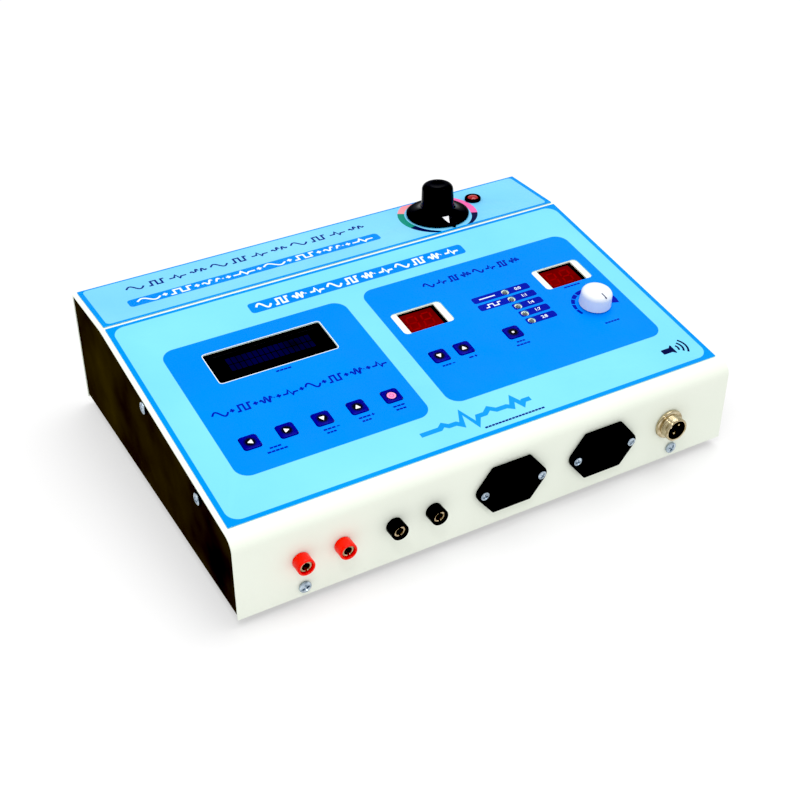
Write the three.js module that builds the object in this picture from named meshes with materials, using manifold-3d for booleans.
// Combination electrotherapy and ultrasound unit: a sheet-metal desk cabinet with a gently folded,
// sloping top that carries two printed panel films, an LCD, two LED displays, keys and two knobs.
// The front wall carries four 4 mm output jacks, two three-pole accessory outlets and a probe connector.
// Millimetres, +Z up, front towards -Y. The origin is the centre of the footprint, on the plane
// that the rubber feet stand on.
import * as THREE from "three";
import { mergeVertices } from "three/addons/utils/BufferGeometryUtils.js";
import Module from "manifold-3d";

const wasm = await Module();
wasm.setup();

// ---------------------------------------------------------------- driving dimensions

// Cabinet. Heights are measured from the underside of the cabinet.
const cabinetWidth = 340;
const cabinetDepth = 246;
const frontHeight = 55.4; // where the sloping top would meet the front wall without its bend
const foldHeight = 81.8; // where the sloping top meets the rear band
const rearHeight = 80.2; // where the rear band would meet the rear wall
const bandDepth = 53; // rear wall to the fold
const sheet = 1.2; // steel sheet of the cover and the tray
const frontBendRadius = 9;
const foldBendRadius = 40;
const rearBendRadius = 3;
const sideOverhang = 0.5; // how far the cover's top stands past the tray's side walls
const coverLipDepth = 13; // turned-down lip inside each side wall
const trayLipHeight = 13; // turned-up lip inside the front and rear walls
const trayBendRadius = 2.4;
const fit = 0.3; // gap between pieces that touch or seat on each other

// Rubber feet
const footHeight = 6;
const footRadius = 9;
const footInset = 24; // foot centre to the cabinet's edge

// Panel films
const filmThickness = 0.4;
const filmSideMargin = 3;
const filmFoldMargin = 1.2;
const filmRearMargin = 1.2;
const filmFrontMargin = 11;
const filmReveal = 0.7; // how far the film's cut-out stands back from the metal's edge

// Places on the sloping top are [x, distance down the slope from the fold].
const lcdPlace = [-84, 62.8];
const lcdCutout = [80.2, 29.2];
const displayCutout = [36.6, 21.6]; // in the film
const displayHole = [27.2, 20.2]; // in the metal
const displayModule = [25.2, 19];
const displayShift = 0.8; // the modules sit towards the left edges of their holes
const timeDisplayPlace = [17.4, 73];
const doseDisplayPlace = [125.3, 72.4];
const keySize = 11;
const keyCorner = 2;
const keyProud = 0.4; // key top above the film
const keyTravel = 0.5;
const keyRowPlace = [-82.7, 129.4]; // middle key of the five
const keyPitch = 23;
const timeKeyPlace = [16.8, 110.1]; // middle of the pair
const timeKeyPitch = 17.5;
const modeKeyPlace = [62.2, 110.1];
const ledPlace = [79.9, 73]; // first of the column
const ledPitch = 8;
const ledCount = 5;
const ledRadius = 1.5;
const ledReveal = 0.8; // ring of bare cover that the film leaves round an LED's hole
const doseKnobPlace = [127.2, 108];
const doseKnobRadius = 10.6;
const doseKnobHeight = 10.6;
const shaftRadius = 3;
const shaftClearance = 0.2;
const bushingRadius = 3.7;
const knobLift = 0.5; // gap between a knob and the film

// Places on the rear band are [x, distance behind the fold].
const outputKnobPlace = [88, 27.2];
const outputSkirtRadius = 22;
const outputBarrelRadius = 11.7;
const outputKnobHeight = 22.4;
const lampPlace = [121.4, 34];
const lampRadius = 5.7;
const lampBarrelRadius = 4.8;

// Places on the front wall are [x, height].
const socketHeight = 27.3;
const jackPlaces = { red_1: -130.5, red_2: -104.5, black_1: -71.5, black_2: -45.5 };
const jackRadius = 5.4;
const jackReach = 8;
const contactRadius = 3.7;
const contactBore = 2.05;
const outletPlaces = { left: 7, right: 73 };
const outletSpan = 52; // tip to tip
const outletHeight = 32;
const outletFlat = 26.4; // length of the top and bottom edges
const outletPlate = 3;
const outletScrewPitch = 40;
const outletBody = [28, 22];
const outletDepth = 22;
const plugDepth = 16;
const probePlace = 124.6;
const probeFlangeRadius = 9.8;
const probeShellRadius = 7.8;
const probeReach = 9;
const probeWall = 1.4;
const probeStep = 0.6; // the part behind the cover is slimmer by this
const probeDepth = 14;
const frontScrewInset = 41; // from the cabinet's side
const frontScrewHeight = 7;

// Screws
const screwHeadRadius = 3.65;
const screwHeadHeight = 1.9;
const screwShankRadius = 1.6;
const screwLength = 7;
const outletScrewHeadRadius = 2.75;
const outletScrewHeadHeight = 1.5;
const outletScrewLength = 8;

// Side screws: [distance from the cabinet's middle, drop below the top edge]. The rear ones sit
// as high as the cover's sheet lets their heads.
const sideScrews = { front: [-78, 7], rear: [0, sheet + fit + screwHeadRadius] };

// Rear wall, places are [x as seen from behind, height].
const inletPlace = [104, 34];
const inletFlange = [31, 42];
const inletBody = [27, 38];
const inletPlate = 2.4;
const inletDepth = 24;
const inletSocketRise = 7; // socket above the middle of the flange
const fuseDrawerDrop = 13; // fuse drawer below it
const fuseDrawerSize = [23, 9.6];
const fuseDrawerDepth = 19;
const fuseDrawerProud = 1;
const switchPlace = [60, 34];
const switchFlange = [15, 21];
const switchBody = [12.6, 18.6];
const switchPlate = 2;
const switchDepth = 14;
const rockerTilt = THREE.MathUtils.degToRad(8);
const ventPlace = [-60, 38];
const ventSlot = [3.2, 26];
const ventPitch = 9;
const ventCount = 10;
const trayVentPlace = [96, -40]; // in the tray's floor
const trayVentSlot = [40, 3.2];
const trayVentCount = 6;

// Inside
const boardThickness = 1.6;
const displayBoardDepth = 12.3; // top of the display board below the sloping top
const displayBoardMargin = 10; // board past the keys, displays and LCD
const mainBoardSize = [172, 128];
const mainBoardPlace = [-66, 20];
const mainBoardHoleInset = 6; // standoff to the board's edge
const standoffHeight = 7;
const tactSwitchHeight = 4.3;
const tactButtonHeight = 0.7;
const dosePot = { radius: 8, depth: 8 };
const outputPot = { radius: 12, depth: 12 };
const transformerPlace = [98, 42];
const transformerCore = [66, 24, 55];
const transformerCoil = [44, 46, 33];
const transformerFrame = [88, 24, 1.5];

// ---------------------------------------------------------------- derived frames of the faces

const halfWidth = cabinetWidth / 2;
const halfDepth = cabinetDepth / 2;
const foldY = halfDepth - bandDepth;
const slopeRun = foldY + halfDepth;
const slopeAngle = Math.atan2(foldHeight - frontHeight, slopeRun);
const slopeLength = Math.hypot(slopeRun, foldHeight - frontHeight);
const bandAngle = Math.atan2(rearHeight - foldHeight, bandDepth);
const bandLength = Math.hypot(bandDepth, rearHeight - foldHeight);
const filmWidth = cabinetWidth - 2 * filmSideMargin;
const filmTop = fit / 2 + filmThickness; // the films are glued, so they sit closer than other pieces

const vec = (x, y, z) => new THREE.Vector3(x, y, z);

// A face's frame: its local x runs right, y runs up the face and z points out of the cabinet.
function faceFrame(origin, right, up) {
  const out = new THREE.Vector3().crossVectors(right, up);
  return new THREE.Matrix4().makeBasis(right, up, out).setPosition(origin);
}

const onSlope = vec(0, Math.cos(slopeAngle), Math.sin(slopeAngle));
const onBand = vec(0, Math.cos(bandAngle), Math.sin(bandAngle));
const frames = {
  top: faceFrame(vec(0, foldY, foldHeight), vec(1, 0, 0), onSlope),
  band: faceFrame(vec(0, foldY, foldHeight), vec(1, 0, 0), onBand),
  front: faceFrame(vec(0, -halfDepth, 0), vec(1, 0, 0), vec(0, 0, 1)),
  rear: faceFrame(vec(0, halfDepth, 0), vec(-1, 0, 0), vec(0, 0, 1)),
  left: faceFrame(vec(-halfWidth, 0, 0), vec(0, -1, 0), vec(0, 0, 1)),
  right: faceFrame(vec(halfWidth, 0, 0), vec(0, 1, 0), vec(0, 0, 1)),
  inside: new THREE.Matrix4(),
};

// ---------------------------------------------------------------- solid helpers

function toSolid(geometry) {
  const bare = geometry.clone();
  bare.deleteAttribute("normal");
  bare.deleteAttribute("uv");
  const merged = mergeVertices(bare, 1e-4);
  const triVerts = new Uint32Array(merged.index.array);
  const vertProperties = new Float32Array(merged.attributes.position.array);
  return new wasm.Manifold(new wasm.Mesh({ numProp: 3, vertProperties, triVerts }));
}

function toGeometry(solid) {
  const mesh = solid.getMesh();
  const geometry = new THREE.BufferGeometry();
  geometry.setAttribute("position", new THREE.BufferAttribute(mesh.vertProperties, 3));
  geometry.setIndex(new THREE.BufferAttribute(mesh.triVerts, 1));
  return geometry;
}

const joined = (...pieces) => toGeometry(pieces.map(toSolid).reduce((a, b) => a.add(b)));
const common = (a, b) => toGeometry(toSolid(a).intersect(toSolid(b)));

function cutFrom(body, ...cuts) {
  return toGeometry(cuts.map(toSolid).reduce((left, cut) => left.subtract(cut), toSolid(body)));
}

// Points of a closed outline, run anticlockwise. Each corner is [x, y, radius].
// The outline can be drawn a distance inside itself, and then its bends get tighter by as much.
function outline(corners, inset = 0, steps = 3) {
  const count = corners.length;
  const at = (i) => new THREE.Vector2(...corners[(i + count) % count].slice(0, 2));
  return corners.flatMap(([, , radius = 0], i) => {
    const toBefore = at(i - 1).sub(at(i)).normalize();
    const toAfter = at(i + 1).sub(at(i)).normalize();
    const half = Math.acos(THREE.MathUtils.clamp(toBefore.dot(toAfter), -1, 1)) / 2;
    const inward = toBefore.clone().add(toAfter).normalize();
    const corner = at(i).addScaledVector(inward, inset / Math.sin(half));
    const bend = Math.max(radius - inset, 0);
    if (bend === 0) return [corner];
    const centre = corner.clone().addScaledVector(inward, bend / Math.sin(half));
    const sweep = Math.PI - 2 * half;
    const middle = Math.atan2(-inward.y, -inward.x);
    return Array.from({ length: steps + 1 }, (_, k) => {
      const angle = middle + sweep * (k / steps - 0.5);
      return new THREE.Vector2(centre.x + bend * Math.cos(angle), centre.y + bend * Math.sin(angle));
    });
  });
}

function rectangle(width, height, radius = 0, x = 0, y = 0) {
  const [w, h] = [width / 2, height / 2];
  return outline([
    [x - w, y - h, radius],
    [x + w, y - h, radius],
    [x + w, y + h, radius],
    [x - w, y + h, radius],
  ]);
}

// A slot whose narrow ends are all but half circles.
const roundEnded = (width, height) => rectangle(width, height, Math.min(width, height) / 2 - 0.01);

function circle(radius, x = 0, y = 0, sides = 16) {
  return Array.from({ length: sides }, (_, k) => {
    const angle = (2 * Math.PI * (k + 0.5)) / sides;
    return new THREE.Vector2(x + radius * Math.cos(angle), y + radius * Math.sin(angle));
  });
}

// A flat outline made solid between two heights of its own frame, with holes through it.
function slab(points, bottom, top, holes = []) {
  const shape = new THREE.Shape(points);
  shape.holes = holes.map((hole) => new THREE.Path(hole));
  const geometry = new THREE.ExtrudeGeometry(shape, { depth: top - bottom, bevelEnabled: false });
  return geometry.translate(0, 0, bottom);
}

// An outline given as [y, z], made solid across the cabinet from one x to another.
function across(points, fromX, toX) {
  const turn = new THREE.Matrix4().makeBasis(vec(0, 1, 0), vec(0, 0, 1), vec(1, 0, 0));
  return slab(points, fromX, toX).applyMatrix4(turn);
}

function block(width, depth, height, x = 0, y = 0, bottom = 0) {
  return new THREE.BoxGeometry(width, depth, height).translate(x, y, bottom + height / 2);
}

// A turned piece on its local z axis. The profile is [radius, z] from its lower end to its upper end.
function turned(profile, sides = 14) {
  const points = profile.map(([radius, z]) => new THREE.Vector2(radius, z));
  const geometry = new THREE.LatheGeometry(points, sides);
  return geometry.rotateX(Math.PI / 2);
}

const rod = (radius, bottom, top, sides = 16) => slab(circle(radius, 0, 0, sides), bottom, top);
const moved = (geometry, x, y, z = 0) => geometry.clone().translate(x, y, z);
const onFace = (face, geometry, x, y, z = 0) => moved(geometry, x, y, z).applyMatrix4(frames[face]);

// ---------------------------------------------------------------- scene graph

const cabinet = new THREE.Group();
const faces = Object.fromEntries(
  Object.entries(frames).map(([name, matrix]) => {
    const group = new THREE.Group();
    group.applyMatrix4(matrix);
    cabinet.add(group);
    return [name, group];
  }),
);

const finish = (color, roughness, metalness = 0) => ({ color, roughness, metalness });
const finishes = {
  white_paint: finish(0xf1f3ec, 0.45),
  black_gloss_paint: finish(0x0b0b0a, 0.12),
  printed_film: finish(0x8fe6ff, 0.35),
  display_red: finish(0x6e0000, 0.3),
  key_navy: finish(0x00009a, 0.4),
  clear_lens: finish(0xe6eaea, 0.1),
  white_plastic: finish(0xf4f6f6, 0.3),
  black_plastic: finish(0x0a0a0c, 0.3),
  red_plastic: finish(0xff1e00, 0.3),
  lamp_red: finish(0xb00010, 0.15),
  zinc: finish(0xb9c2c6, 0.35, 1),
  nickel: finish(0xc9c3b2, 0.25, 1),
  rubber: finish(0x141414, 0.85),
  green_board: finish(0x0f5a2c, 0.55),
  steel_core: finish(0x5b5e60, 0.5, 0.8),
};

function add(face, name, geometry, finishName, x = 0, y = 0, z = 0) {
  const mesh = new THREE.Mesh(geometry, new THREE.MeshStandardMaterial(finishes[finishName]));
  mesh.name = name;
  mesh.position.set(x, y, z);
  faces[face].add(mesh);
  return mesh;
}

// ---------------------------------------------------------------- where things sit on the top

const rowOffset = (i, count, pitch) => (i - (count - 1) / 2) * pitch;
const rowKeys = ["key_left", "key_right", "key_down", "key_up", "key_start"];
const timeKeys = ["key_time_down", "key_time_up"];
const keyPlaces = Object.fromEntries([
  ...rowKeys.map((name, i) => [name, [keyRowPlace[0] + rowOffset(i, 5, keyPitch), keyRowPlace[1]]]),
  ...timeKeys.map((name, i) => [name, [timeKeyPlace[0] + rowOffset(i, 2, timeKeyPitch), timeKeyPlace[1]]]),
  ["key_mode", modeKeyPlace],
]);
const ledPlaces = Array.from({ length: ledCount }, (_, i) => [ledPlace[0], ledPlace[1] + i * ledPitch]);

const keyHole = keySize + 2 * fit;
const ledHoleRadius = ledRadius + fit;
const bushingHoleRadius = bushingRadius + fit;
const lampHoleRadius = lampBarrelRadius + fit;

// ---------------------------------------------------------------- cover

const deep = 10; // how far a cutter runs past the sheet that it cuts
const through = (points) => slab(points, -deep, deep);

function cabinetOutline(bottom, inset) {
  const corners = [
    [-halfDepth, bottom],
    [halfDepth, bottom],
    [halfDepth, rearHeight, rearBendRadius],
    [foldY, foldHeight, foldBendRadius],
    [-halfDepth, frontHeight, frontBendRadius],
  ];
  return outline(corners, inset, 5);
}

function topHeight(y) {
  if (y > foldY) return foldHeight + (y - foldY) * Math.tan(bandAngle);
  return foldHeight - (foldY - y) * Math.tan(slopeAngle);
}

function coverLip(side) {
  const front = -halfDepth + frontBendRadius + coverLipDepth;
  const rear = halfDepth - rearBendRadius - coverLipDepth / 2;
  const top = [front, foldY, rear].map((y) => [y, topHeight(y) - sheet / 2]);
  const bottom = [rear, foldY, front].map((y) => [y, topHeight(y) - coverLipDepth]);
  const points = [...top, ...bottom].map(([y, z]) => new THREE.Vector2(y, z)).reverse();
  const outer = halfWidth - sideOverhang - sheet - fit;
  return side > 0 ? across(points, outer - sheet, outer) : across(points, -outer, -outer + sheet);
}

const studDepth = displayBoardDepth - fit;
const boardLeft = lcdPlace[0] - lcdCutout[0] / 2 - displayBoardMargin;
const boardRight = doseDisplayPlace[0] + displayCutout[0] / 2 + displayBoardMargin / 2;
const boardNear = keyRowPlace[1] + keySize / 2 + displayBoardMargin;
const boardFar = lcdPlace[1] - lcdCutout[1] / 2 - displayBoardMargin;
const studRadius = 2.5;
const studPlaces = [boardLeft + 4, boardRight - 4].flatMap((x) => [
  [x, -boardNear + 4],
  [x, -boardFar - 4],
]);

const screwHole = circle(screwShankRadius + fit, 0, 0, 8);
const jackHole = circle(contactRadius + fit, 0, 0, 12);
const withFit = (size, gap = fit) => size.map((length) => length + 2 * gap);
const outletHole = rectangle(...withFit(outletBody), 2);
const probeHole = circle(probeShellRadius - probeStep + fit, 0, 0, 16);
const frontScrewPlaces = { left: -halfWidth + frontScrewInset, right: halfWidth - frontScrewInset };

function cover() {
  const wide = 1; // the cutter of the hollow stands past both ends
  const skin = across(cabinetOutline(0, 0), -halfWidth, halfWidth);
  const hollow = across(cabinetOutline(-deep, sheet), -halfWidth - wide, halfWidth + wide);
  const bent = cutFrom(skin, hollow);
  const stud = rod(studRadius, -studDepth, -sheet / 2, 8);
  const studs = studPlaces.map(([x, y]) => onFace("top", stud, x, y));
  const body = joined(bent, coverLip(-1), coverLip(1), ...studs);

  const cuts = [];
  const pierce = (face, points, x, y) => cuts.push(onFace(face, through(points), x, y));
  const lcdHole = lcdCutout.map((size) => size - 2 * filmReveal);
  pierce("top", rectangle(...lcdHole, 1.2), lcdPlace[0], -lcdPlace[1]);
  for (const [x, down] of [timeDisplayPlace, doseDisplayPlace]) {
    pierce("top", rectangle(...displayHole), x, -down);
  }
  for (const [x, down] of Object.values(keyPlaces)) {
    pierce("top", rectangle(keyHole, keyHole), x, -down);
  }
  for (const [x, down] of ledPlaces) pierce("top", circle(ledHoleRadius, 0, 0, 10), x, -down);
  pierce("top", circle(bushingHoleRadius), doseKnobPlace[0], -doseKnobPlace[1]);
  pierce("band", circle(bushingHoleRadius), ...outputKnobPlace);
  pierce("band", circle(lampHoleRadius), ...lampPlace);
  for (const x of Object.values(jackPlaces)) pierce("front", jackHole, x, socketHeight);
  for (const x of Object.values(outletPlaces)) {
    pierce("front", outletHole, x, socketHeight);
    for (const side of [-1, 1]) {
      pierce("front", screwHole, x + (side * outletScrewPitch) / 2, socketHeight);
    }
  }
  pierce("front", probeHole, probePlace, socketHeight);
  for (const x of Object.values(frontScrewPlaces)) pierce("front", screwHole, x, frontScrewHeight);
  for (const [face, side] of [["left", -1], ["right", 1]]) {
    for (const [y, drop] of Object.values(sideScrews)) {
      pierce(face, screwHole, side * y, topHeight(y) - drop);
    }
  }
  pierce("rear", rectangle(...withFit(inletBody)), ...inletPlace);
  pierce("rear", rectangle(...withFit(switchBody)), ...switchPlace);
  for (let i = 0; i < ventCount; i++) {
    const x = ventPlace[0] + rowOffset(i, ventCount, ventPitch);
    pierce("rear", roundEnded(...ventSlot), x, ventPlace[1]);
  }
  return cutFrom(body, ...cuts);
}

add("inside", "cover", cover(), "white_paint");

// ---------------------------------------------------------------- base tray

const boardStandoffs = [-1, 1].flatMap((sideX) =>
  [-1, 1].map((sideY) => [
    mainBoardPlace[0] + sideX * (mainBoardSize[0] / 2 - mainBoardHoleInset),
    mainBoardPlace[1] + sideY * (mainBoardSize[1] / 2 - mainBoardHoleInset),
  ]),
);
const footPlaces = {
  front_left: [-halfWidth + footInset, -halfDepth + footInset],
  front_right: [halfWidth - footInset, -halfDepth + footInset],
  rear_left: [-halfWidth + footInset, halfDepth - footInset],
  rear_right: [halfWidth - footInset, halfDepth - footInset],
};

function baseTray() {
  const w = halfWidth - sideOverhang;
  const tall = Math.max(foldHeight, rearHeight) + deep;
  const corners = [
    [-w, 0, trayBendRadius],
    [w, 0, trayBendRadius],
    [w, tall],
    [-w, tall],
  ];
  const innerCorners = corners.map(([x, z, radius], i) => [x, i < 2 ? z : z + deep, radius]);
  const standUp = new THREE.Matrix4().makeBasis(vec(1, 0, 0), vec(0, 0, 1), vec(0, -1, 0));
  const channel = slab(outline(corners), -halfDepth, halfDepth).applyMatrix4(standUp);
  const trough = slab(outline(innerCorners, sheet), -halfDepth - 1, halfDepth + 1).applyMatrix4(standUp);
  const within = across(cabinetOutline(-deep, sheet + fit), -halfWidth, halfWidth);
  const bent = common(cutFrom(channel, trough), within);

  const lipWidth = cabinetWidth - 2 * (sideOverhang + sheet + trayBendRadius);
  const lipY = halfDepth - sheet - fit - sheet / 2;
  const lips = [-1, 1].map((side) => block(lipWidth, sheet, trayLipHeight, 0, side * lipY));
  const post = rod(3, sheet / 2, sheet + standoffHeight, 8);
  const posts = boardStandoffs.map(([x, y]) => moved(post, x, y));
  const body = joined(bent, ...lips, ...posts);

  const cuts = [];
  for (const x of Object.values(frontScrewPlaces)) {
    cuts.push(onFace("front", through(screwHole), x, frontScrewHeight));
  }
  for (const [face, side] of [["left", -1], ["right", 1]]) {
    for (const [y, drop] of Object.values(sideScrews)) {
      cuts.push(onFace(face, through(screwHole), side * y, topHeight(y) - drop));
    }
  }
  // The lips clear the bodies of the outlets, the inlet and the switch, if these reach down to them.
  const clear = (face, points, x, z) => cuts.push(onFace(face, through(points), x, z));
  for (const x of Object.values(outletPlaces)) clear("front", outletHole, x, socketHeight);
  clear("rear", rectangle(...withFit(inletBody)), ...inletPlace);
  clear("rear", rectangle(...withFit(switchBody)), ...switchPlace);
  const slot = through(roundEnded(...trayVentSlot));
  const [ventX, ventY] = trayVentPlace;
  for (let i = 0; i < trayVentCount; i++) {
    cuts.push(moved(slot, ventX, ventY + rowOffset(i, trayVentCount, ventPitch)));
  }
  return cutFrom(body, ...cuts);
}

add("inside", "base_tray", baseTray(), "black_gloss_paint");

// A turned rubber foot: it widens upwards, and a screw's head sits in the recess from below.
function foot() {
  const [recessRadius, recessDepth] = [3.2, 2];
  const [taper, edge] = [0.6, 0.8];
  return turned([
    [0, recessDepth],
    [recessRadius, recessDepth],
    [recessRadius, 0],
    [footRadius - taper - edge, 0],
    [footRadius - taper, edge],
    [footRadius, footHeight - fit],
    [0, footHeight - fit],
  ]);
}

for (const [name, [x, y]] of Object.entries(footPlaces)) {
  add("inside", `foot_${name}`, foot(), "rubber", x, y, -footHeight);
}

// ---------------------------------------------------------------- panel films

const filmBottom = fit / 2;
const filmNear = slopeLength - filmFrontMargin;

function mainFilm() {
  const length = filmNear - filmFoldMargin;
  const middle = -(filmFoldMargin + length / 2);
  const holes = [
    rectangle(...lcdCutout, 2, lcdPlace[0], -lcdPlace[1]),
    ...[timeDisplayPlace, doseDisplayPlace].map(([x, down]) => rectangle(...displayCutout, 3, x, -down)),
    ...Object.values(keyPlaces).map(([x, down]) => rectangle(keyHole, keyHole, keyCorner, x, -down)),
    ...ledPlaces.map(([x, down]) => circle(ledHoleRadius + ledReveal, x, -down, 12)),
    circle(bushingHoleRadius, doseKnobPlace[0], -doseKnobPlace[1]),
  ];
  return slab(rectangle(filmWidth, length, 0.5, 0, middle), filmBottom, filmTop, holes);
}

function bandFilm() {
  const length = bandLength - filmFoldMargin - filmRearMargin;
  const middle = filmFoldMargin + length / 2;
  const holes = [circle(bushingHoleRadius, ...outputKnobPlace), circle(lampHoleRadius, ...lampPlace)];
  return slab(rectangle(filmWidth, length, 0.5, 0, middle), filmBottom, filmTop, holes);
}

add("top", "main_overlay", mainFilm(), "printed_film");
add("band", "band_overlay", bandFilm(), "printed_film");

// ---------------------------------------------------------------- LCD, displays and indicator LEDs

const boardTop = -displayBoardDepth;
function lcdModule() {
  const bezelTop = -sheet - fit;
  const boardBottom = boardTop + fit;
  const boardSize = [80, 36];
  const bezelSize = [71.2, 25.2];
  const viewSize = [64.6, 16.4];
  const viewRecess = 0.6;
  const board = block(...boardSize, boardThickness, 0, 0, boardBottom);
  const bezelBottom = boardBottom + boardThickness / 2;
  const bezel = block(...bezelSize, bezelTop - bezelBottom, 0, 0, bezelBottom);
  const view = block(...viewSize, 2, 0, 0, bezelTop - viewRecess);
  return cutFrom(joined(board, bezel), view);
}

function ledDisplay() {
  const recess = 2; // display face below the metal
  return slab(rectangle(...displayModule), boardTop + fit, -recess);
}

// A 3 mm LED: a collar under the cover, a straight body and a half-round dome.
function indicatorLed() {
  const bottom = boardTop + fit;
  const collar = ledRadius + 0.4;
  const collarTop = -sheet - fit - 1;
  const domeCentre = filmTop - ledRadius / 2;
  const dome = Array.from({ length: 4 }, (_, i) => {
    const angle = (i / 3) * (Math.PI / 2);
    return [ledRadius * Math.cos(angle), domeCentre + ledRadius * Math.sin(angle)];
  });
  dome[dome.length - 1][0] = 0;
  return turned([[0, bottom], [collar, bottom], [collar, collarTop], [ledRadius, collarTop], ...dome], 10);
}

add("top", "lcd_module", lcdModule(), "black_plastic", lcdPlace[0], -lcdPlace[1]);
for (const [name, [x, down]] of [["time_display", timeDisplayPlace], ["dose_display", doseDisplayPlace]]) {
  add("top", name, ledDisplay(), "display_red", x - displayShift, -down);
}
ledPlaces.forEach(([x, down], i) => add("top", `mode_led_${i + 1}`, indicatorLed(), "clear_lens", x, -down));

// ---------------------------------------------------------------- keys and their board

const keyStemRadius = 1.8;
const keyStemBottom = boardTop + tactSwitchHeight + tactButtonHeight + keyTravel + fit;

function keyCap() {
  const flangeTop = -sheet - fit;
  const flangeThickness = 1;
  const flangeReach = 1.2; // how far the flange catches behind the cover on each side
  const cap = slab(rectangle(keySize, keySize, keyCorner), flangeTop - flangeThickness, filmTop + keyProud);
  const flangeSize = keyHole + 2 * flangeReach;
  const flange = slab(rectangle(flangeSize, flangeSize, 1), flangeTop - flangeThickness, flangeTop);
  const stem = rod(keyStemRadius, keyStemBottom, flangeTop - flangeThickness / 2, 8);
  return joined(cap, flange, stem);
}

function displayBoard() {
  const [middleX, middleY] = [(boardLeft + boardRight) / 2, -(boardNear + boardFar) / 2];
  const edge = rectangle(boardRight - boardLeft, boardNear - boardFar, 2, middleX, middleY);
  const plate = slab(edge, boardTop - boardThickness, boardTop);
  const root = boardTop - boardThickness / 2; // parts stand in the board to here
  const bodySize = 6;
  const body = block(bodySize, bodySize, tactSwitchHeight + boardTop - root, 0, 0, root);
  const button = rod(1.7, boardTop, boardTop + tactSwitchHeight + tactButtonHeight, 8);
  const tactSwitch = joined(body, button);
  const switches = Object.values(keyPlaces).map(([x, down]) => moved(tactSwitch, x, -down));
  const [headerLength, headerWidth, headerHeight] = [30, 6, 7];
  const headerX = boardLeft + 2 * headerLength;
  const headerY = -boardFar - headerWidth;
  const header = block(headerLength, headerWidth, headerHeight, headerX, headerY, root - headerHeight);
  return joined(plate, ...switches, header);
}

for (const [name, [x, down]] of Object.entries(keyPlaces)) add("top", name, keyCap(), "key_navy", x, -down);
add("top", "display_board", displayBoard(), "green_board");

// ---------------------------------------------------------------- knobs, shafts and potentiometers

const knobBottom = filmTop + knobLift;
const shaftBore = shaftRadius + shaftClearance;

function shaft(top, bottom) {
  const flatDepth = 0.8; // the D-shaped end
  const flatY = shaftRadius - flatDepth + shaftRadius / 2;
  const round = rod(shaftRadius, bottom, top);
  return cutFrom(round, block(2 * shaftRadius, shaftRadius, top, 0, flatY, knobBottom + 1));
}

function potentiometer({ radius, depth }, shaftBottom) {
  const bodyTop = -sheet - fit;
  const bodyBottom = bodyTop - depth;
  const bushingTop = filmTop + knobLift / 2;
  const hollow = shaftBottom - fit;
  const body = turned(
    [
      [0, bodyBottom],
      [radius, bodyBottom],
      [radius, bodyTop],
      [bushingRadius, bodyTop],
      [bushingRadius, bushingTop],
      [shaftBore, bushingTop],
      [shaftBore, hollow],
      [0, hollow],
    ],
    20,
  );
  const [tagWidth, tagReach, tagThickness] = [12, 5, 1.6];
  const tags = block(tagWidth, radius + tagReach, tagThickness, 0, -(radius + tagReach) / 2, bodyBottom);
  return joined(body, tags);
}

const shaftShare = 0.6; // share of a knob's height that its shaft fills
const doseShaftTop = knobBottom + doseKnobHeight * shaftShare;
const outputShaftTop = knobBottom + outputKnobHeight * shaftShare;
const doseShaftBottom = -sheet - fit - dosePot.depth / 2;
const outputShaftBottom = -sheet - fit - outputPot.depth / 2;

// The rounded top edge of a knob, as a quarter arc in its turned profile.
function topEdge(radius, height, edge, steps = 4) {
  return Array.from({ length: steps + 1 }, (_, i) => {
    const angle = (i / steps) * (Math.PI / 2);
    return [radius - edge + edge * Math.cos(angle), height - edge + edge * Math.sin(angle)];
  });
}

const knobBore = (shaftTop) => [
  [0, shaftTop - knobBottom + fit],
  [shaftBore, shaftTop - knobBottom + fit],
  [shaftBore, 0],
];
const knobCrown = 0.1; // the middle of a knob's top stands this much higher

function doseKnob() {
  const h = doseKnobHeight;
  const r = doseKnobRadius;
  const taper = 0.5;
  const rim = 2;
  const profile = [
    ...knobBore(doseShaftTop),
    [r, 0],
    [r - taper / 4, rim],
    ...topEdge(r - taper, h, 3),
    [0, h + knobCrown],
  ];
  return turned(profile, 24);
}

// A pointer knob: a barrel on a wide skirt. The skirt's top sweeps into the barrel along a quarter
// of an ellipse.
function outputKnob() {
  const h = outputKnobHeight;
  const skirt = outputSkirtRadius;
  const barrel = outputBarrelRadius;
  const rim = 1.2;
  const flareTop = 7;
  const flareSteps = 5;
  const taper = 0.9;
  const flare = Array.from({ length: flareSteps + 1 }, (_, i) => {
    const angle = (i / flareSteps) * (Math.PI / 2);
    const out = 1 - Math.sin(angle);
    const up = 1 - Math.cos(angle);
    return [barrel + (skirt - 1 - barrel) * out, rim + 0.6 + (flareTop - rim - 0.6) * up];
  });
  const body = turned(
    [
      ...knobBore(outputShaftTop),
      [skirt, 0],
      [skirt, rim],
      ...flare,
      ...topEdge(barrel - taper, h, 3.6),
      [0, h + knobCrown],
    ],
    28,
  );
  const [nibHalfWidth, nibReach, nibRoot] = [2.6, 2.8, 1.5];
  const nib = [
    [-nibHalfWidth, nibRoot - skirt],
    [0, -skirt - nibReach],
    [nibHalfWidth, nibRoot - skirt],
  ].map(([x, y]) => new THREE.Vector2(x, y));
  return joined(body, slab(nib, 0, rim));
}

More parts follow.
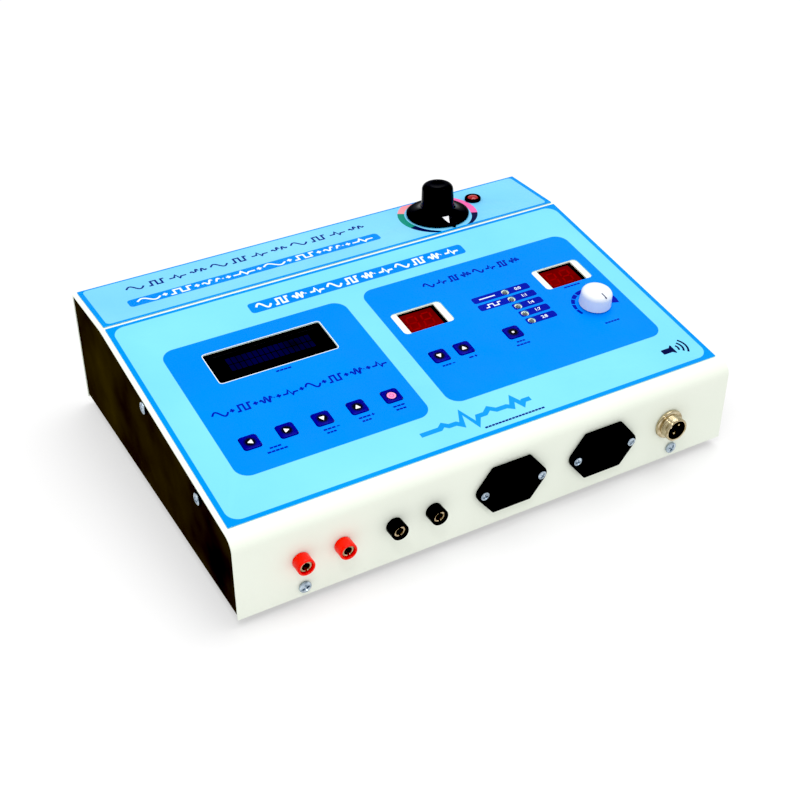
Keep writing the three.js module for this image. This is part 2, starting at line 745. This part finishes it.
const [doseX, doseDown] = doseKnobPlace;
add("top", "dose_knob", doseKnob(), "white_plastic", doseX, -doseDown, knobBottom);
add("top", "dose_shaft", shaft(doseShaftTop, doseShaftBottom), "nickel", doseX, -doseDown);
add("top", "dose_pot", potentiometer(dosePot, doseShaftBottom), "nickel", doseX, -doseDown);
add("band", "output_knob", outputKnob(), "black_plastic", ...outputKnobPlace, knobBottom);
add("band", "output_shaft", shaft(outputShaftTop, outputShaftBottom), "nickel", ...outputKnobPlace);
add("band", "output_pot", potentiometer(outputPot, outputShaftBottom), "nickel", ...outputKnobPlace);

// ---------------------------------------------------------------- pilot lamp

function pilotLamp() {
  const barrelDepth = 16;
  const seat = filmTop + fit;
  const rim = 1.6;
  const domeRise = 2.6;
  const lens = lampRadius - 1;
  const dome = [1, 0.8, 0.4].map((share) => [
    lens * share,
    seat + rim + domeRise * Math.sqrt(1 - share * share),
  ]);
  return turned([
    [0, -barrelDepth],
    [lampBarrelRadius, -barrelDepth],
    [lampBarrelRadius, seat],
    [lampRadius, seat],
    [lampRadius, seat + rim],
    ...dome,
    [0, seat + rim + domeRise],
  ]);
}

add("band", "pilot_lamp", pilotLamp(), "lamp_red", ...lampPlace);

// ---------------------------------------------------------------- front jacks

function jackCollar() {
  const bore = contactRadius + fit / 2;
  const chamfer = 0.6;
  return turned(
    [
      [bore, fit],
      [jackRadius, fit],
      [jackRadius, jackReach - chamfer],
      [jackRadius - chamfer, jackReach],
      [bore, jackReach],
      [bore, fit],
    ],
    16,
  );
}

// The plated contact: a split tube with a hexagon nut behind the cover and a slim solder tail.
function jackContact() {
  const face = jackReach - 0.6;
  const tailRadius = 2.5;
  const tailEnd = -18;
  const tubeEnd = -6;
  const boreEnd = -8;
  const tube = turned(
    [
      [0, tailEnd],
      [tailRadius, tailEnd],
      [tailRadius, tubeEnd],
      [contactRadius, tubeEnd],
      [contactRadius, face],
      [contactBore, face],
      [contactBore, boreEnd],
      [0, boreEnd],
    ],
    12,
  );
  const [nutRadius, nutThickness] = [5.6, 2.6];
  const nutTop = -sheet - fit;
  const nut = slab(circle(nutRadius, 0, 0, 6), nutTop - nutThickness, nutTop);
  const ring = cutFrom(nut, rod(contactRadius - 0.5, nutTop - 2 * nutThickness, nutTop + nutThickness));
  const [splitWidth, splitDepth] = [0.9, 5];
  const split = block(splitWidth, 4 * contactRadius, splitDepth + 1, 0, 0, face - splitDepth);
  return cutFrom(joined(tube, ring), split);
}

for (const [name, x] of Object.entries(jackPlaces)) {
  const colour = name.startsWith("red") ? "red_plastic" : "black_plastic";
  add("front", `jack_${name}`, jackCollar(), colour, x, socketHeight);
  add("front", `contact_${name}`, jackContact(), "nickel", x, socketHeight);
}

// ---------------------------------------------------------------- accessory outlets

// The outline that standard three-pole plugs share: a rectangle with its two upper corners cut off.
// It is given by half its width, half its height and the length that the corners lose.
function keyedOutline(halfAcross, halfHigh, bevel) {
  return [
    [-halfAcross, -halfHigh],
    [halfAcross, -halfHigh],
    [halfAcross, halfHigh - bevel],
    [halfAcross - bevel, halfHigh],
    [-halfAcross + bevel, halfHigh],
    [-halfAcross, halfHigh - bevel],
  ].map(([x, y]) => new THREE.Vector2(x, y));
}

// A panel outlet: a six-sided flange with two screws, a body through the cover, and a keyed moat
// that leaves an island with three pole slots for the plug to close on.
function outlet() {
  const face = fit + outletPlate;
  const [tip, flat, high] = [outletSpan / 2, outletFlat / 2, outletHeight / 2];
  const [tipBend, cornerBend] = [6, 1.5];
  const flange = outline([
    [-flat, -high, cornerBend],
    [flat, -high, cornerBend],
    [tip, 0, tipBend],
    [flat, high, cornerBend],
    [-flat, high, cornerBend],
    [-tip, 0, tipBend],
  ]);
  const plate = slab(flange, fit, face);
  const body = slab(rectangle(...outletBody, 1.5), -outletDepth, fit + outletPlate / 2);
  const moat = slab(keyedOutline(12.4, 8.6, 4), face - plugDepth, face + 1, [keyedOutline(10.1, 6.3, 3.4)]);
  const poles = [
    [-7, 1],
    [7, 1],
    [0, -2.4],
  ];
  const [poleWidth, poleHeight, poleFloor] = [2.4, 5, 2];
  const slotBottom = face - plugDepth + poleFloor;
  const slots = poles.map(([x, y]) => block(poleWidth, poleHeight, plugDepth, x, y, slotBottom));
  const screws = [-1, 1].map((side) => moved(through(screwHole), (side * outletScrewPitch) / 2, 0));
  return cutFrom(joined(plate, body), moat, ...slots, ...screws);
}

function panScrew(headRadius, headHeight, length) {
  return turned(
    [
      [0, -length],
      [screwShankRadius, -length],
      [screwShankRadius, 0],
      [headRadius, 0],
      [headRadius, headHeight * 0.35],
      [headRadius * 0.86, headHeight * 0.75],
      [headRadius * 0.5, headHeight],
      [0, headHeight],
    ],
    10,
  );
}

for (const [side, x] of Object.entries(outletPlaces)) {
  add("front", `outlet_${side}`, outlet(), "black_plastic", x, socketHeight);
  [-1, 1].forEach((end, i) => {
    const screw = panScrew(outletScrewHeadRadius, outletScrewHeadHeight, outletScrewLength);
    const place = x + (end * outletScrewPitch) / 2;
    add("front", `outlet_${side}_screw_${i + 1}`, screw, "zinc", place, socketHeight, 2 * fit + outletPlate);
  });
}

// ---------------------------------------------------------------- probe connector

const probeBore = probeShellRadius - probeWall;

function probeShell() {
  const slim = probeShellRadius - probeStep;
  const [flangeEdge, flangeTop] = [fit + 1.4, fit + 2.2];
  const [flangeChamfer, mouthChamfer] = [0.9, 0.4];
  return turned(
    [
      [probeBore, -probeDepth],
      [slim, -probeDepth],
      [slim, fit],
      [probeFlangeRadius, fit],
      [probeFlangeRadius, flangeEdge],
      [probeFlangeRadius - flangeChamfer, flangeTop],
      [probeShellRadius, flangeTop],
      [probeShellRadius, probeReach - mouthChamfer],
      [probeShellRadius - mouthChamfer, probeReach],
      [probeBore, probeReach],
      [probeBore, -probeDepth],
    ],
    20,
  );
}

// The insulator, with three pins on a ring inside the shell.
function probeInsert() {
  const face = 1.6;
  const disc = rod(probeBore - fit / 2, 1 - probeDepth, face, 20);
  const [pinRing, pinRadius, pinRoot, pinReach] = [3.6, 0.9, 1, 5.4];
  const pins = [0, 1, 2].map((i) => {
    const angle = (Math.PI * (5 - 4 * i)) / 6;
    const pin = rod(pinRadius, face - pinRoot, face + pinReach, 8);
    return moved(pin, pinRing * Math.cos(angle), pinRing * Math.sin(angle));
  });
  return joined(disc, ...pins);
}

add("front", "probe_shell", probeShell(), "nickel", probePlace, socketHeight);
add("front", "probe_insert", probeInsert(), "black_plastic", probePlace, socketHeight);

// ---------------------------------------------------------------- cabinet screws

for (const [side, x] of Object.entries(frontScrewPlaces)) {
  const screw = panScrew(screwHeadRadius, screwHeadHeight, screwLength);
  add("front", `front_screw_${side}`, screw, "zinc", x, frontScrewHeight, fit);
}
for (const [face, side] of [["left", -1], ["right", 1]]) {
  for (const [end, [y, drop]] of Object.entries(sideScrews)) {
    const screw = panScrew(screwHeadRadius, screwHeadHeight, screwLength);
    add(face, `side_screw_${face}_${end}`, screw, "zinc", side * y, topHeight(y) - drop, fit - sideOverhang);
  }
}

// ---------------------------------------------------------------- rear power entry

const inletFace = fit + inletPlate;

function powerInlet() {
  const [cavityDepth, backWall] = [16, 1];
  const plate = slab(rectangle(...inletFlange, 2), fit, inletFace);
  const body = slab(rectangle(...inletBody, 1), -inletDepth, fit + 1);
  const keyed = slab(keyedOutline(12.2, 8.2, 3.6), inletFace - cavityDepth, inletFace + 1);
  const cavity = moved(keyed, 0, inletSocketRise);
  const [pinWidth, pinHeight, pinLength] = [2, 4, 13];
  const pinRoot = inletFace - cavityDepth - backWall;
  const pins = [
    [-7, -1.6],
    [7, -1.6],
    [0, 2.4],
  ].map(([x, y]) => block(pinWidth, pinHeight, pinLength + backWall, x, y + inletSocketRise, pinRoot));
  const pocketBottom = inletFace - fuseDrawerDepth - fit;
  const pocket = block(...withFit(fuseDrawerSize), fuseDrawerDepth + 2, 0, -fuseDrawerDrop, pocketBottom);
  return joined(cutFrom(joined(plate, body), cavity, pocket), ...pins);
}

// The fuse drawer is a small tray, open to one side, with a notch for a fingernail in its front.
function fuseDrawer() {
  const [w, h] = fuseDrawerSize;
  const wall = 2;
  const body = block(w, h, fuseDrawerDepth + fuseDrawerProud, 0, 0, -fuseDrawerDepth);
  const fuse = block(w - 2 * wall, h, fuseDrawerDepth - 2 * wall, 0, 1.5 * wall, wall - fuseDrawerDepth);
  const [notchWidth, notchHeight, notchDepth] = [8, 1.6, 1.2];
  const notchBottom = fuseDrawerProud - notchDepth;
  const notch = block(notchWidth, notchHeight, 2 * notchDepth, 0, h / 2 - notchHeight / 4, notchBottom);
  return cutFrom(body, fuse, notch);
}

const switchFace = fit + switchPlate;
const rockerPivot = switchFace - 1.2;
const switchWall = 1.6;
const rockerSize = switchBody.map((length) => length - 2 * switchWall);

function switchFrame() {
  const swing = 5; // room behind the pivot for the rocker's belly
  const plate = slab(rectangle(...switchFlange, 1), fit, switchFace);
  const body = slab(rectangle(...switchBody), -switchDepth, fit + 1);
  const cavity = slab(rectangle(...withFit(rockerSize, 2 * fit)), rockerPivot - swing, switchFace + 1);
  return cutFrom(joined(plate, body), cavity);
}

// A rocker seen from its side: two raised ends, a shallow valley between them and a belly behind.
function rocker() {
  const half = rockerSize[1] / 2;
  const [edge, belly, raised, valley] = [-1, -3.2, 2.2, 1.3];
  const side = [
    [-half, edge],
    [-half / 2, belly],
    [half / 2, belly],
    [half, edge],
    [half, raised],
    [0, valley],
    [-half, raised],
  ].map(([y, z]) => new THREE.Vector2(y, z));
  return across(side, -rockerSize[0] / 2, rockerSize[0] / 2);
}

const [inletX, inletZ] = inletPlace;
add("rear", "power_inlet", powerInlet(), "black_plastic", inletX, inletZ);
add("rear", "fuse_drawer", fuseDrawer(), "black_plastic", inletX, inletZ - fuseDrawerDrop, inletFace);
add("rear", "power_switch_frame", switchFrame(), "black_plastic", ...switchPlace);
const powerRocker = add("rear", "power_rocker", rocker(), "red_plastic", ...switchPlace, rockerPivot);
powerRocker.rotation.x = -rockerTilt;

// ---------------------------------------------------------------- electronics on the tray

function mainBoard() {
  const bottom = sheet + standoffHeight + fit;
  const top = bottom + boardThickness;
  const root = boardThickness / 2; // how far a part's foot stands in the board
  const [boardX, boardY] = mainBoardPlace;
  const [right, rear] = mainBoardSize.map((length) => length / 2);
  const part = (size, x, y) => {
    const [w, d, h] = size;
    return block(w, d, h + root, boardX + x, boardY + y, top - root);
  };
  const plate = block(...mainBoardSize, boardThickness, boardX, boardY, bottom);

  const [sinkX, sinkY, finPitch, finCount] = [right - 40, rear - 24, 8, 7];
  const heatSink = part([52, 4, 24], sinkX, sinkY);
  const fins = Array.from({ length: finCount }, (_, i) => {
    return part([2, 16, 24], sinkX + rowOffset(i, finCount, finPitch), sinkY - 6);
  });
  const relays = [0, 1, 2].map((i) => part([19, 15, 15], -right + 16 + i * 24, -rear + 18));
  const pulseTransformers = [0, 1].map((i) => part([24, 20, 20], -right + 18, -10 + i * 32));
  const processor = part([36, 14, 4], 0, 0);
  const terminals = part([40, 8, 10], right - 46, -rear + 10);
  const capacitor = rod(8, top - root, top + 25, 14);
  const capacitors = [0, 1].map((i) => moved(capacitor, boardX - 20 + i * 20, boardY + rear - 20));
  const small = [processor, terminals, ...relays, ...pulseTransformers];
  return joined(plate, heatSink, ...fins, ...small, ...capacitors);
}

// The mains transformer: an E-I core in its mounting frame, with the coil through its window.
function transformer() {
  const place = transformerPlace;
  const bottom = sheet + fit;
  const coilLift = (transformerCore[2] - transformerCoil[2]) / 2;
  const core = block(...transformerCore, ...place, bottom);
  const coil = block(...transformerCoil, ...place, bottom + coilLift);
  const frame = block(...transformerFrame, ...place, bottom);
  return joined(core, coil, frame);
}

add("inside", "main_board", mainBoard(), "green_board");
add("inside", "transformer", transformer(), "steel_core");

// ---------------------------------------------------------------- the whole unit on its feet

const reach = new THREE.Box3().setFromObject(cabinet, true);
cabinet.position.set(0, -(reach.min.y + reach.max.y) / 2, -reach.min.z);

const unit = new THREE.Group();
unit.add(cabinet);

export default unit;
